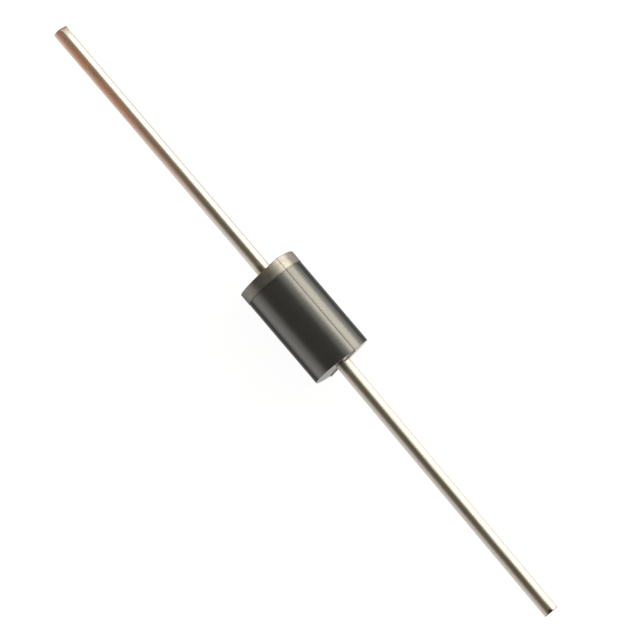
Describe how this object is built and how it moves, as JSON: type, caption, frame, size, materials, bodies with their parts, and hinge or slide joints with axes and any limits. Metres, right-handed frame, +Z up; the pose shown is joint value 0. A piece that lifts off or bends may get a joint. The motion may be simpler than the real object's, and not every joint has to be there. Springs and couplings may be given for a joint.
{
  "type": "schottky diode",
  "caption": "Axial power diode: black moulded epoxy cylinder with a grey cathode band and a straight tinned wire lead out of each end.",
  "frame": {"origin": "centre of the moulded body, on the axis of the leads", "axes": "+X along the leads from the cathode (banded end) to the anode, +Z up as the part lies on its side"},
  "size_m": [0.0602, 0.0054, 0.0054],
  "materials": {
    "epoxy": "satin",
    "band_ink": "satin",
    "tinned_wire": "satin",
    "silicon": "polished",
    "solder": "satin"
  },
  "bodies": {
    "root": {"epoxy_body": "epoxy", "cathode_band": "band_ink", "cathode_lead": "tinned_wire", "anode_lead": "tinned_wire", "silicon_die": "silicon", "cathode_solder": "solder", "anode_solder": "solder"}
  },
  "joints": []
}
